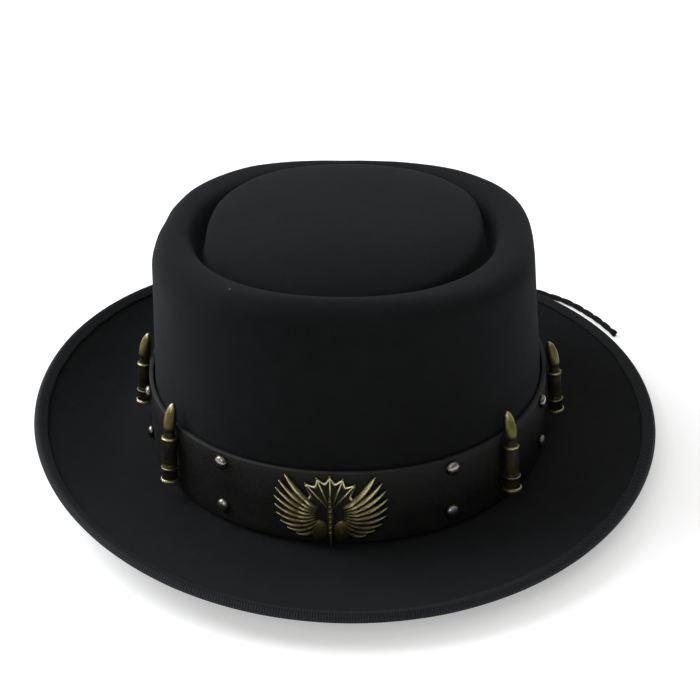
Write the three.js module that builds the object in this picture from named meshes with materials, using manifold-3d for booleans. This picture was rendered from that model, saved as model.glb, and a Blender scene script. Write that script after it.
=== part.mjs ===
// A porkpie hat of black wool felt with a leather strap, rivets, cast studs, a winged badge and a lace.
// The front is -Y, the brim rests on z = 0, and all lengths are in millimetres, all angles in degrees.
import * as THREE from "three";
import { mergeVertices } from "three/addons/utils/BufferGeometryUtils.js";
import Module from "manifold-3d";

const wasm = await Module();
wasm.setup();

// Felt crown
const feltWall = 2.4;
const headLength = 206.4; // outside of the crown where it meets the brim, front to back
const headWidth = 174.4;
const headSquareness = 2.03; // 2 is a true ellipse, more is squarer
const crownHeight = 97.4; // crest of the rim above the table, at the front
const rimDrop = 2; // how much lower the crest is at the back
const crownTaperFront = 14; // what the wall loses on each side from its foot to its shoulder
const crownTaperSide = 6.7;
const crownShift = 0.9; // the crown sits a little to the right on the brim
const crownLean = -1.5; // and its top leans to the left
const footFillet = 1.8;
const topSquareness = 2.62;
const tipSquareness = 2.25;
const rimRadius = 8;
const channelWidth = 14; // from the crest of the rim to the edge of the tip
const channelDepth = 12;
const tipRise = 5; // middle of the tip above the crest
const tipDome = 3.4; // how much the tip falls from its middle to its back edge
const tipDip = 7.6; // and how much further to its front edge

// Felt brim
const brimFront = 55.6;
const brimSide = 48.1;
const brimSquareness = 2.02;
const brimFlat = 0.3; // share of the brim's reach that lies flat before it curls up
const brimCurl = 1.75;
const edgeFrontHeight = 12; // upper side of the brim's edge
const edgeBackHeight = 10.4;
const edgeSideHeight = 18.2;
const edgeSkew = 4.9; // how much higher the left edge is than the mean, and the right edge lower
const edgeWall = 1.6; // the felt is skived under the ribbon

// Ribbon on the brim's edge
const ribbonWall = 0.55;
const ribbonLap = 4;
const ribbonBulge = 0.35;

// Strap
const strapWall = 2;
const strapWidth = 29.8;
const strapFollow = 0.85; // share of the crown's taper that the strap follows
const strapEndGap = 12; // between the two ends at the back
const clearance = 0.3; // between pieces that touch

// Rivets
const rivetRadius = 3.05;
const rivetHeight = 2.1;
const rivetLip = 0.4;
const rivetInsetTop = 4;
const rivetInsetBottom = 6.4;

// Cartridge studs
const studHeight = 34.6;
const studCaseRadius = 3;
const studRimRadius = 3.9;
const studLift = 5.4; // foot of the stud above the strap's lower edge
const studLean = 2; // towards the crown, past the slope of the strap
const noseBend = 1.7; // how far a stud's tip is bent in towards the crown

// Badge
const badgeWidth = 43.5;
const badgeHeight = 30;
const badgeFootGap = 1.5; // between the badge's foot and the brim
const badgeAside = -1.6; // it is riveted on a little left of the middle
const badgePlate = 1;
const badgeRelief = 1.3;

// Lace
const laceDiameter = 3;
const laceBendRadius = 1.8; // where the lace turns out of a hole
const laceHoleInset = 6; // from the strap's end
const laceHoleEdge = 7.9; // from the strap's upper and lower edges
const knotWidth = 10;
const knotDepth = 6.4;

// Free end of the lace, from the knot over the brim at the back to the table on the right
const tailRoute = [
  [7, 110.9, 15.3],
  [10.4, 114.6, 10.2],
  [17, 121, 4.9],
  [26, 131.5, 5.9],
  [34, 141.5, 8.8],
  [41.7, 150.8, 13.2],
  [48.8, 158.4, 12.4],
  [56.6, 163.6, 7.4],
  [65, 165.4, 3],
  [73.8, 162.6, 1.7],
  [82, 155.8, 1.7],
  [90.4, 145.6, 1.7],
  [97.8, 137.9, 1.7],
  [104.3, 132.7, 1.7],
  [110.6, 127.6, 1.7],
  [116, 121.4, 1.7],
  [121.2, 113.6, 1.7],
  [126.2, 104.9, 1.7],
  [130, 96.6, 1.7],
  [133.6, 87.6, 1.7],
];

// Facets
const hatSides = 48;
const strapSteps = 48;
const rivetSides = 10;
const studSides = 10;
const badgeSides = 8;
const laceSides = 8;
const laceBendRows = 4;
const knotSides = 10;
const knotRows = 6;
const tailStep = 6.5; // length of one straight piece of the lace's free end
const weldDistance = 1e-4; // corners closer than this are one

// Sections of the tip: how far out, as a share of its half axes, and how far down, as a share of the dome
const tipRows = [
  { out: 0.5, drop: 0.13 },
  { out: 0.76, drop: 0.39 },
  { out: 0.92, drop: 0.73 },
  { out: 1, drop: 1 },
];

// Sections of the channel: across from the tip to the crest, as a share of its width, and deep from the
// brink on the same side, the tip's edge or the rim's crest, as a share of the way to the floor
const channelRows = [
  { across: 0.09, brink: "tip", deep: 0.55, squareness: 2.22 },
  { across: 0.22, brink: "tip", deep: 1, squareness: 2.18 },
  { across: 0.37, brink: "rim", deep: 0.8, squareness: 2.12 },
  { across: 0.5, brink: "rim", deep: 0.27, squareness: 2.1 },
  { across: 0.72, brink: "rim", deep: 0.07, squareness: 2.2 },
];

// Turns of the rim's rounding from its crest to the wall
const rimTurns = [0, 32, 62, 90];

// Sections of the wall: how high and how far in, as shares of the wall's height and taper
const wallTop = { up: 1, inward: 1 };
const wallRows = [
  { up: 0.66, inward: 0.6 },
  { up: 0.34, inward: 0.26 },
  { up: 0, inward: 0 },
];

// Sections of the brim, as shares of its reach
const brimRows = [0.06, 0.2, 0.34, 0.52, 0.7];

// What stands on each half of the strap, and its angle from the front
const strapRows = [
  { piece: "rivets", angle: 30.3 },
  { piece: "stud", angle: 48 },
  { piece: "rivets", angle: 69.9 },
  { piece: "stud", angle: 85.8 },
  { piece: "rivets", angle: 106.8 },
  { piece: "stud", angle: 125 },
  { piece: "rivets", angle: 144 },
];

// Shoulder of a rivet's dome, as shares of its radius and of its height above the lip
const rivetShoulder = { out: 0.64, up: 0.77 };

// Profile of a stud above its rim: how high, as a share of its height, and how wide, as a share of the case's
// radius
const studRimHeight = 1.3;
const studRows = [
  { up: 0.055, wide: 1.07 },
  { up: 0.17, wide: 1.07 },
  { up: 0.185, wide: 1.19 },
  { up: 0.21, wide: 1 },
  { up: 0.575, wide: 1 },
  { up: 0.59, wide: 0.72 },
  { up: 0.67, wide: 0.72 },
  { up: 0.69, wide: 0.86 },
  { up: 0.81, wide: 0.84 },
  { up: 0.91, wide: 0.64 },
  { up: 0.975, wide: 0.34 },
];
const noseFoot = 0.66; // share of the stud's height where the bend starts
const noseCurve = 1.6;

// Feathers of one wing: place of the tip, as shares of half the badge's width and height, then half width and
// ridge, as shares of half the badge's width and of its relief
const featherRows = [
  { across: 0.78, up: 0.95, wide: 0.07, ridge: 1 },
  { across: 0.89, up: 0.76, wide: 0.066, ridge: 0.9 },
  { across: 0.95, up: 0.53, wide: 0.062, ridge: 0.8 },
  { across: 0.98, up: 0.29, wide: 0.06, ridge: 0.75 },
  { across: 0.98, up: 0.05, wide: 0.058, ridge: 0.7 },
  { across: 0.96, up: -0.18, wide: 0.056, ridge: 0.65 },
  { across: 0.89, up: -0.4, wide: 0.054, ridge: 0.6 },
  { across: 0.77, up: -0.57, wide: 0.052, ridge: 0.55 },
  { across: 0.61, up: -0.7, wide: 0.05, ridge: 0.5 },
];
const featherRoot = 0.24; // of the way from the middle to the tip
const featherSag = 0.16; // how far a feather's root hangs, of half the height
const featherBow = 0.34; // and the middle of its bend

// Stations along a feather or ray, and their share of its half width
const bladeRows = [
  { along: 0, wide: 0.6 },
  { along: 0.45, wide: 1 },
  { along: 0.8, wide: 0.85 },
];

// Outline of the badge's plate: five points of a fan at the top, with dips between them, and a plain oval
// below, as shares of half the badge's width and height
const fanTurns = [50, 70, 90, 110, 130];
const fanTip = { across: 0.68, up: 0.98 };
const fanDip = { across: 0.55, up: 0.8 };
const plateEdge = { across: 0.46, up: 0.66 };
const plateStep = 10;
const rayWide = 0.035;
const rayRidge = 0.4;

// Domes and keel at the foot of the badge, as shares of half its width and height
const domePlace = { across: 0.2, up: -0.55 };
const domeSize = { across: 0.16, up: 0.3 };
const domeTurns = [0, 45];
const keelTop = 0.43;
const keelWide = 0.07;
const keelRidge = 1.1;

const radians = THREE.MathUtils.degToRad;
const footZ = feltWall + footFillet;
const shoulderZ = crownHeight - rimRadius;
const strapFoot = footZ + clearance;
const tipTop = crownHeight + tipRise;
const badgeMiddle = feltWall + badgeFootGap + badgeHeight / 2 - strapFoot; // above the strap's lower edge

// Point of an oval in plan, at an angle from its front
function ovalPoint(halfLength, halfWidth, squareness, angle) {
  const s = Math.sin(angle);
  const c = Math.cos(angle);
  const reach = (Math.abs(s) ** squareness + Math.abs(c) ** squareness) ** (-1 / squareness);
  return [halfWidth * s * reach, -halfLength * c * reach];
}

// Upper side of the brim's edge at an angle from the front
function edgeHeight(angle) {
  const c = Math.cos(angle);
  const s = Math.sin(angle);
  const along = (edgeFrontHeight * (1 + c)) / 2 + (edgeBackHeight * (1 - c)) / 2;
  return along * c * c + edgeSideHeight * s * s - edgeSkew * s;
}

// Share of the crown's taper that the wall has lost at a share of its height
function wallInward(up) {
  const below = wallRows.find((row) => row.up <= up) ?? wallRows.at(-1);
  const above = wallRows.findLast((row) => row.up > up) ?? wallTop;
  const share = THREE.MathUtils.clamp((up - below.up) / (above.up - below.up), 0, 1);
  return below.inward + (above.inward - below.inward) * share;
}

// The crown's oval at a height, with a share of its taper
function crownOval(z, inward) {
  const up = THREE.MathUtils.clamp((z - footZ) / (shoulderZ - footZ), 0, 1);
  return {
    up,
    length: headLength / 2 - inward * crownTaperFront,
    width: headWidth / 2 - inward * crownTaperSide,
    squareness: headSquareness + (topSquareness - headSquareness) * up * up,
    shift: crownShift + crownLean * up,
  };
}

// How much lower the rim is at an angle from the front
function backDrop(angle) {
  return (rimDrop * (1 - Math.cos(angle))) / 2;
}

// How far the tip has fallen at its edge, at an angle from the front
function tipFall(angle) {
  return tipDome + tipDip * ((1 + Math.cos(angle)) / 2) ** 2;
}

// One ring of the felt's outer side, as points round an oval
function ring(halfLength, halfWidth, squareness, shift, height) {
  return Array.from({ length: hatSides }, (unused, k) => {
    const angle = (2 * Math.PI * k) / hatSides;
    const [x, y] = ovalPoint(halfLength, halfWidth, squareness, angle);
    return new THREE.Vector3(x + shift, y, typeof height === "function" ? height(angle) : height);
  });
}

// A ring of the crown, so far in from its foot and at such a height
function crownRing(inward, inset, z) {
  const { up, length, width, squareness, shift } = crownOval(z, inward);
  return ring(length - inset, width - inset, squareness, shift, (angle) => z - up * backDrop(angle));
}

// A ring of the brim, so far out past the crown's foot, as a share of the reach less a fixed length
function brimRing(share, less = 0) {
  const front = brimFront * share - less;
  const side = brimSide * share - less;
  const out = (front + side) / (brimFront + brimSide);
  const curl = Math.max(0, (out - brimFlat) / (1 - brimFlat)) ** brimCurl;
  return ring(
    headLength / 2 + front,
    headWidth / 2 + side,
    headSquareness + (brimSquareness - headSquareness) * out,
    crownShift * (1 - out),
    (angle) => feltWall + (edgeHeight(angle) - feltWall) * curl,
  );
}

// Joins closed loops of points into one closed skin. Open rows end in a fan to an apex at either end.
function loft(loops, apexes) {
  const count = loops[0].length;
  const points = loops.flat();
  const index = [];
  const spans = apexes ? loops.length - 1 : loops.length;
  for (let row = 0; row < spans; row++) {
    const next = (row + 1) % loops.length;
    for (let k = 0; k < count; k++) {
      const after = (k + 1) % count;
      const [a, b, c, d] = [row * count + k, row * count + after, next * count + after, next * count + k];
      index.push(a, b, c, a, c, d);
    }
  }
  if (apexes) {
    const last = (loops.length - 1) * count;
    const tip = points.length;
    points.push(...apexes);
    for (let k = 0; k < count; k++) {
      const after = (k + 1) % count;
      index.push(tip, after, k, tip + 1, last + k, last + after);
    }
  }
  return closedGeometry(points, index);
}

// Geometry of a closed skin with its faces turned outwards
function closedGeometry(points, index) {
  const volume = index.reduce((sum, corner, at) => {
    if (at % 3) return sum;
    const [a, b, c] = [points[corner], points[index[at + 1]], points[index[at + 2]]];
    return sum + a.dot(b.clone().cross(c));
  }, 0);
  if (volume < 0) index.reverse();
  const geometry = new THREE.BufferGeometry().setFromPoints(points);
  geometry.setIndex(index);
  return geometry;
}

// Middle of a loop of points
function middleOf(loop) {
  return loop.reduce((sum, point) => sum.add(point), new THREE.Vector3()).divideScalar(loop.length);
}

// Solid of a geometry, for joining and cutting
function solidOf(geometry) {
  const bare = geometry.clone();
  bare.deleteAttribute("normal");
  bare.deleteAttribute("uv");
  const merged = mergeVertices(bare, weldDistance);
  return new wasm.Manifold(
    new wasm.Mesh({
      numProp: 3,
      vertProperties: new Float32Array(merged.attributes.position.array),
      triVerts: new Uint32Array(merged.index.array),
    }),
  );
}

function geometryOf(solid) {
  const { numProp, numVert, vertProperties, triVerts } = solid.getMesh();
  const points = Array.from({ length: numVert }, (unused, i) =>
    new THREE.Vector3().fromArray(vertProperties, i * numProp),
  );
  const geometry = new THREE.BufferGeometry().setFromPoints(points);
  geometry.setIndex(Array.from(triVerts));
  return geometry;
}

function joined(geometries) {
  return geometryOf(geometries.map(solidOf).reduce((whole, next) => whole.add(next)));
}

// Moves a geometry made along +Y so that +Y points along a direction from a place
function aimed(geometry, place, direction) {
  const turn = new THREE.Quaternion().setFromUnitVectors(new THREE.Vector3(0, 1, 0), direction);
  return geometry.applyMatrix4(new THREE.Matrix4().compose(place, turn, new THREE.Vector3(1, 1, 1)));
}

// Outer side of the felt, from the middle of the tip to the brim's edge
function feltOuterRows() {
  const { length, width, shift } = crownOval(crownHeight, 1);
  const crestLength = length - rimRadius;
  const crestWidth = width - rimRadius;
  const topRing = (share, inset, squareness, height) =>
    ring((crestLength - inset) * share, (crestWidth - inset) * share, squareness, shift, height);
  const tip = tipRows.map(({ out, drop }) =>
    topRing(out, channelWidth, tipSquareness, (angle) => tipTop - tipFall(angle) * drop),
  );
  const brinks = {
    tip: (angle) => tipTop - tipFall(angle),
    rim: (angle) => crownHeight - backDrop(angle),
  };
  const channel = channelRows.map(({ across, brink, deep, squareness }) =>
    topRing(1, channelWidth * (1 - across), squareness, (angle) => {
      const from = brinks[brink](angle);
      return from + (crownHeight - channelDepth - backDrop(angle) - from) * deep;
    }),
  );
  const rim = rimTurns.map((turn) =>
    crownRing(1, rimRadius * (1 - Math.sin(radians(turn))), shoulderZ + rimRadius * Math.cos(radians(turn))),
  );
  const wall = wallRows.map(({ up, inward }) => crownRing(inward, 0, footZ + (shoulderZ - footZ) * up));
  const filletTurn = footFillet * (1 - Math.SQRT1_2);
  const fillet = [crownRing(0, -filletTurn, feltWall + filletTurn)];
  const brim = brimRows.map((share) => brimRing(share));
  const underRibbon = ribbonLap + clearance;
  const skive = [brimRing(1, underRibbon + feltWall - edgeWall), brimRing(1, underRibbon)];
  return [...tip, ...channel, ...rim, ...wall, ...fillet, ...brim, ...skive, brimRing(1)];
}

// Outward normals of the felt's rows. The two rows under the ribbon share the slope of the edge.
function normalsOf(rows) {
  const last = rows.length - 1;
  return rows.map((row, i) =>
    row.map((point, k) => {
      const before = rows[i >= last - 1 ? last - 1 : Math.max(i - 1, 0)][k];
      const after = rows[i >= last - 1 ? last : i + 1][k];
      const around = row[(k + 1) % hatSides].clone().sub(row[(k + hatSides - 1) % hatSides]);
      return after.clone().sub(before).cross(around).normalize();
    }),
  );
}

const outerRows = feltOuterRows();
const outerNormals = normalsOf(outerRows);

function feltBody() {
  const skivedFrom = outerRows.length - 2;
  const inner = outerRows.map((row, i) => {
    const wall = i < skivedFrom ? feltWall : edgeWall;
    return row.map((point, k) => point.clone().addScaledVector(outerNormals[i][k], -wall));
  });
  const top = new THREE.Vector3(crownShift + crownLean, 0, tipTop);
  return loft([...outerRows, ...inner.reverse()], [top, top.clone().setZ(tipTop - feltWall)]);
}

// Ribbon folded round the brim's edge, clear of the felt
function brimBinding() {
  const edge = outerRows.at(-1);
  const before = outerRows.at(-2);
  const loops = edge.map((point, k) => {
    const out = point.clone().sub(before[k]).normalize();
    const up = outerNormals.at(-1)[k];
    const at = (along, above) => point.clone().addScaledVector(out, along).addScaledVector(up, above);
    const inside = clearance;
    const outside = clearance + ribbonWall;
    const under = -edgeWall;
    return [
      at(-ribbonLap, inside),
      at(inside, inside),
      at(inside, under - inside),
      at(-ribbonLap, under - inside),
      at(-ribbonLap, under - outside),
      at(outside - ribbonBulge, under - outside),
      at(outside + ribbonBulge, under / 2),
      at(outside - ribbonBulge, outside),
      at(-ribbonLap, outside),
    ];
  });
  return loft(loops);
}

// Point of the strap at an angle from the front, above its lower edge and in from its outer side
function strapPoint(angle, up, inset = 0) {
  const z = strapFoot + up;
  const inward = strapFollow * wallInward((z - footZ) / (shoulderZ - footZ));
  const { length, width, squareness, shift } = crownOval(z, inward);
  const past = clearance + strapWall - inset;
  const [x, y] = ovalPoint(length + past, width + past, squareness, angle);
  return new THREE.Vector3(x + shift, y, z);
}

// Point of the strap's outer side, the direction up its slope and the direction out of it
function strapFace(angle, up) {
  const nearby = 0.01;
  const along = strapPoint(angle + nearby, up).sub(strapPoint(angle - nearby, up));
  const rise = strapPoint(angle, up + nearby).sub(strapPoint(angle, up - nearby)).normalize();
  return { point: strapPoint(angle, up), rise, out: along.cross(rise).normalize() };
}

// Half width of the strap's oval at a height
function strapHalfWidth(up) {
  return (strapPoint(Math.PI / 2, up).x - strapPoint(-Math.PI / 2, up).x) / 2;
}

// Angle from the front of the strap's point at a distance to the side of its back middle
function backAngle(side) {
  return Math.PI - Math.asin(side / strapHalfWidth(strapWidth / 2));
}

function laceHoles() {
  const side = strapEndGap / 2 + laceHoleInset;
  return [-1, 1].flatMap((hand) =>
    [laceHoleEdge, strapWidth - laceHoleEdge].map((up) => strapFace(hand * backAngle(side), up)),
  );
}

function hatBand() {
  const end = backAngle(strapEndGap / 2);
  const loops = Array.from({ length: strapSteps + 1 }, (unused, k) => {
    const angle = -end + (2 * end * k) / strapSteps;
    return [
      strapPoint(angle, 0),
      strapPoint(angle, strapWidth),
      strapPoint(angle, strapWidth, strapWall),
      strapPoint(angle, 0, strapWall),
    ];
  });
  const strap = solidOf(loft(loops, [middleOf(loops[0]), middleOf(loops.at(-1))]));
  const holeRadius = laceDiameter / 2 + clearance;
  const punchLength = strapWall * 4; // well past both sides of the strap
  const holes = laceHoles().map(({ point, out }) => {
    const punch = new THREE.CylinderGeometry(holeRadius, holeRadius, punchLength, laceSides);
    return solidOf(aimed(punch, point, out));
  });
  return geometryOf(holes.reduce((left, hole) => left.subtract(hole), strap));
}

function rivet() {
  const { out, up } = rivetShoulder;
  const shoulder = [rivetRadius * out, rivetLip + (rivetHeight - rivetLip) * up];
  const profile = [[0, 0], [rivetRadius, 0], [rivetRadius, rivetLip], shoulder, [0, rivetHeight]];
  return new THREE.LatheGeometry(profile.map(([r, y]) => new THREE.Vector2(r, y)), rivetSides);
}

// A stud on its seat, its nose bent in against the direction out of the strap
function cartridgeStud(seat, axis, out) {
  const profile = [
    [0, 0],
    [studRimRadius, 0],
    [studRimRadius, studRimHeight],
    ...studRows.map(({ up, wide }) => [studCaseRadius * wide, studHeight * up]),
    [0, studHeight],
  ];
  const turned = new THREE.LatheGeometry(profile.map(([r, y]) => new THREE.Vector2(r, y)), studSides);
  const body = aimed(turned, seat, axis);
  const places = body.getAttribute("position");
  for (let k = 0; k < places.count; k++) {
    const point = new THREE.Vector3().fromBufferAttribute(places, k);
    const up = point.clone().sub(seat).dot(axis) / studHeight;
    const bent = Math.max(0, (up - noseFoot) / (1 - noseFoot)) ** noseCurve;
    point.addScaledVector(out, -noseBend * bent);
    places.setXYZ(k, point.x, point.y, point.z);
  }
  return body;
}

// Point above the strap's front, from a place in the badge's own plane
function badgePoint(across, up, above) {
  const height = badgeMiddle + up;
  const angle = Math.asin((badgeAside + across) / strapHalfWidth(height));
  const { point, out } = strapFace(angle, height);
  return point.addScaledVector(out, clearance + above);
}

// Place in the badge's plane, from shares of half its width and height
function badgePlace({ across, up }) {
  return new THREE.Vector2((across * badgeWidth) / 2, (up * badgeHeight) / 2);
}

// A tapered feather or ray with a ridge, along a bent line in the badge's plane
function badgeBlade(from, bend, to, halfWidth, ridge) {
  const spine = new THREE.QuadraticBezierCurve(from, bend, to);
  const loops = bladeRows.map(({ along, wide }) => {
    const middle = spine.getPoint(along);
    const side = spine.getTangent(along).rotateAround(new THREE.Vector2(), Math.PI / 2);
    side.multiplyScalar(halfWidth * wide);
    return [
      badgePoint(middle.x - side.x, middle.y - side.y, badgePlate / 4),
      badgePoint(middle.x + side.x, middle.y + side.y, badgePlate / 4),
      badgePoint(middle.x, middle.y, badgePlate + ridge * wide),
    ];
  });
  return loft(loops, [badgePoint(from.x, from.y, badgePlate / 2), badgePoint(to.x, to.y, badgePlate / 2)]);
}

// The plate behind the feathers, with a scalloped fan at the top
function badgePlateBody() {
  const turns = Array.from({ length: 360 / plateStep }, (unused, k) => k * plateStep);
  const edgeOf = (turn) => {
    if (fanTurns.includes(turn)) return fanTip;
    return turn > fanTurns[0] && turn < fanTurns.at(-1) ? fanDip : plateEdge;
  };
  const loop = (share, above) =>
    turns.map((turn) => {
      const { x, y } = badgePlace(edgeOf(turn));
      return badgePoint(share * x * Math.cos(radians(turn)), share * y * Math.sin(radians(turn)), above);
    });
  return loft([loop(1, badgePlate), loop(1, 0)], [badgePoint(0, 0, badgePlate), badgePoint(0, 0, 0)]);
}

// A dome on the badge's face, on the left (-1) or right (1) of the keel
function badgeDome(hand) {
  const middle = badgePlace({ across: hand * domePlace.across, up: domePlace.up });
  const size = badgePlace(domeSize);
  const loop = (share, above) =>
    Array.from({ length: badgeSides }, (unused, k) => {
      const turn = (2 * Math.PI * k) / badgeSides;
      const [across, up] = [size.x * share * Math.cos(turn), size.y * share * Math.sin(turn)];
      return badgePoint(middle.x + across, middle.y + up, above);
    });
  const rows = domeTurns.map((turn) =>
    loop(Math.cos(radians(turn)), badgePlate + badgeRelief * Math.sin(radians(turn))),
  );
  const foot = badgePoint(middle.x, middle.y, badgePlate / 2);
  const top = badgePoint(middle.x, middle.y, badgePlate + badgeRelief);
  return loft([loop(1, badgePlate / 2), ...rows], [foot, top]);
}

function wingBadge() {
  const half = badgeWidth / 2;
  const feathers = [1, -1].flatMap((hand) =>
    featherRows.map(({ across, up, wide, ridge }) => {
      const tip = badgePlace({ across: hand * across, up });
      const root = badgePlace({ across: hand * across * featherRoot, up: up * featherRoot - featherSag });
      const bend = tip.clone().add(root).divideScalar(2).add(badgePlace({ across: 0, up: -featherBow }));
      return badgeBlade(root, bend, tip, half * wide, badgeRelief * ridge);
    }),
  );
  const middle = new THREE.Vector2();
  const rays = fanTurns.map((turn) => {
    const { across, up } = fanTip;
    const tip = badgePlace({ across: across * Math.cos(radians(turn)), up: up * Math.sin(radians(turn)) });
    return badgeBlade(middle, tip.clone().divideScalar(2), tip, half * rayWide, badgeRelief * rayRidge);
  });
  const top = badgePlace({ across: 0, up: keelTop });
  const foot = badgePlace({ across: 0, up: -1 });
  const keel = badgeBlade(top, middle, foot, half * keelWide, badgeRelief * keelRidge);
  return joined([badgePlateBody(), ...feathers, ...rays, badgeDome(1), badgeDome(-1), keel]);
}

// A round bar of lace between two points
function laceBar(from, to) {
  const radius = laceDiameter / 2;
  const along = to.clone().sub(from);
  const body = new THREE.CylinderGeometry(radius, radius, along.length(), laceSides);
  return aimed(body, from.clone().add(to).divideScalar(2), along.normalize());
}

// Middle of the knot, behind the gap between the strap's ends
function knotMiddle() {
  const { point, out } = strapFace(Math.PI, strapWidth / 2);
  return point.addScaledVector(out, clearance + knotDepth / 2);
}

function bandLace() {
  const lift = clearance + laceBendRadius;
  const ends = laceHoles().map(({ point, out }) => ({
    above: point.clone().addScaledVector(out, lift),
    inside: point.clone().addScaledVector(out, -strapWall),
  }));
  const plugs = ends.map(({ above, inside }) => laceBar(inside, above));
  const middle = knotMiddle();
  const strands = ends.map(({ above }) => laceBar(above, middle));
  const bends = ends.map(({ above }) =>
    new THREE.SphereGeometry(laceBendRadius, laceSides, laceBendRows).translate(...above),
  );
  const knot = new THREE.SphereGeometry(1, knotSides, knotRows);
  knot.scale(knotWidth / 2, knotDepth / 2, knotWidth / 2);
  knot.translate(...middle);
  return joined([...plugs, ...strands, ...bends, knot]);
}

// The lace's free end, a plain round tube along its route
function laceTail() {
  const route = new THREE.CatmullRomCurve3(tailRoute.map((point) => new THREE.Vector3(...point)));
  const section = new THREE.Shape();
  for (let k = 0; k < laceSides; k++) {
    const turn = (2 * Math.PI * k) / laceSides;
    const corner = [(laceDiameter / 2) * Math.cos(turn), (laceDiameter / 2) * Math.sin(turn)];
    if (k) section.lineTo(...corner);
    else section.moveTo(...corner);
  }
  return new THREE.ExtrudeGeometry(section, {
    steps: Math.round(route.getLength() / tailStep),
    extrudePath: route,
    curveSegments: 1,
  });
}

function material(color, roughness, metalness) {
  return new THREE.MeshStandardMaterial({ color, roughness, metalness });
}

const felt = material(0x17181b, 0.95, 0);
const ribbon = material(0x1d2024, 0.8, 0);
const leather = material(0x141312, 0.6, 0);
const brass = material(0x7d6a35, 0.45, 1);
const nickel = material(0x6f675a, 0.4, 1);
const lace = material(0x1a1918, 0.85, 0);

const hat = new THREE.Group();

function add(name, geometry, finish) {
  const mesh = new THREE.Mesh(geometry, finish);
  mesh.name = name;
  hat.add(mesh);
}

add("felt_body", feltBody(), felt);
add("brim_binding", brimBinding(), ribbon);
add("hat_band", hatBand(), leather);
add("wing_badge", wingBadge(), brass);
add("band_lace", bandLace(), lace);
add("lace_tail", laceTail(), lace);

for (const [side, hand] of [["right", 1], ["left", -1]]) {
  const counts = { rivets: 0, stud: 0 };
  for (const { piece, angle } of strapRows) {
    const number = ++counts[piece];
    const turn = hand * radians(angle);
    if (piece === "rivets") {
      for (const [level, up] of [["top", strapWidth - rivetInsetTop], ["bottom", rivetInsetBottom]]) {
        const { point, out } = strapFace(turn, up);
        const seat = point.addScaledVector(out, clearance);
        add(`rivet_${side}_${number}_${level}`, aimed(rivet(), seat, out), nickel);
      }
    } else {
      const { point, rise, out } = strapFace(turn, studLift);
      const lean = Math.tan(radians(studLean));
      const leanRun = (strapWidth - studLift) * lean; // leans in so far up to the strap's upper edge
      const reach = Math.max(studRimRadius, studCaseRadius + leanRun);
      const seat = point.addScaledVector(out, clearance + reach);
      const axis = rise.clone().addScaledVector(out, -lean).normalize();
      add(`cartridge_stud_${side}_${number}`, cartridgeStud(seat, axis, out), brass);
    }
  }
}

export default hat;
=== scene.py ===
import math
from functools import partial

import bmesh
import bpy
from mathutils import Matrix, Vector, noise


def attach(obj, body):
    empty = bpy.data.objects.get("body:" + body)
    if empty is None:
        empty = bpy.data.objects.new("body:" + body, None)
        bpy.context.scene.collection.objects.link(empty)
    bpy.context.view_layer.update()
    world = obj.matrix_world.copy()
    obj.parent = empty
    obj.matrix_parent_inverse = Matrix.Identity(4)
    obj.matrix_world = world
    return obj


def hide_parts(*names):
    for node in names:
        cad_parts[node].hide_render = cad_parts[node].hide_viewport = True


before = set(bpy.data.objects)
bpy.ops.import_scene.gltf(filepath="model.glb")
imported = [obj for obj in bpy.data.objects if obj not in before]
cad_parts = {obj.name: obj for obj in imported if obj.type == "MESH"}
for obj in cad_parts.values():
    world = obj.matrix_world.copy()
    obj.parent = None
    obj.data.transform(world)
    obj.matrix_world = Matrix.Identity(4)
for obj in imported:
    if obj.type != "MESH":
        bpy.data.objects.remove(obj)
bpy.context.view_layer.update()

scene = bpy.context.scene
mm = 0.001
fullTurn = 2 * math.pi
weldDistance = 1e-6
crispAngle = 34  # degrees; edges that turn more than this stay crisp
slopeStep = 0.01  # radians round the hat, or millimetres up it


# Helpers for shapes

def makeObject(mesh, name, *materials):
    data = bpy.data.meshes.new(name)
    mesh.to_mesh(data)
    mesh.free()
    for material in materials:
        data.materials.append(material)
    made = bpy.data.objects.new(name, data)
    scene.collection.objects.link(made)
    return made


def finish(mesh, name, slot, node, *materials, closed=True):
    # turns a bmesh into a piece that rides on the hat in place of one of its solids
    bmesh.ops.remove_doubles(mesh, verts=mesh.verts, dist=weldDistance)
    mesh.normal_update()
    if closed:
        bmesh.ops.recalc_face_normals(mesh, faces=mesh.faces)
    elif sum(face.normal.dot(face.calc_center_median()) for face in mesh.faces) < 0:
        bmesh.ops.reverse_faces(mesh, faces=mesh.faces)
    for face in mesh.faces:
        face.smooth = True
    piece = makeObject(mesh, name, *materials)
    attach(piece, "root")
    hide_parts(node)
    return piece


def addModifier(piece, kind, **values):
    made = piece.modifiers.new(kind.title(), kind)
    for key, value in values.items():
        setattr(made, key, value)


def edgesAmong(verts):
    # the edges with both ends among these points, each of them once
    found = dict.fromkeys(edge for vert in verts for edge in vert.link_edges)
    return [edge for edge in found if all(vert in verts for vert in edge.verts)]


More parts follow.
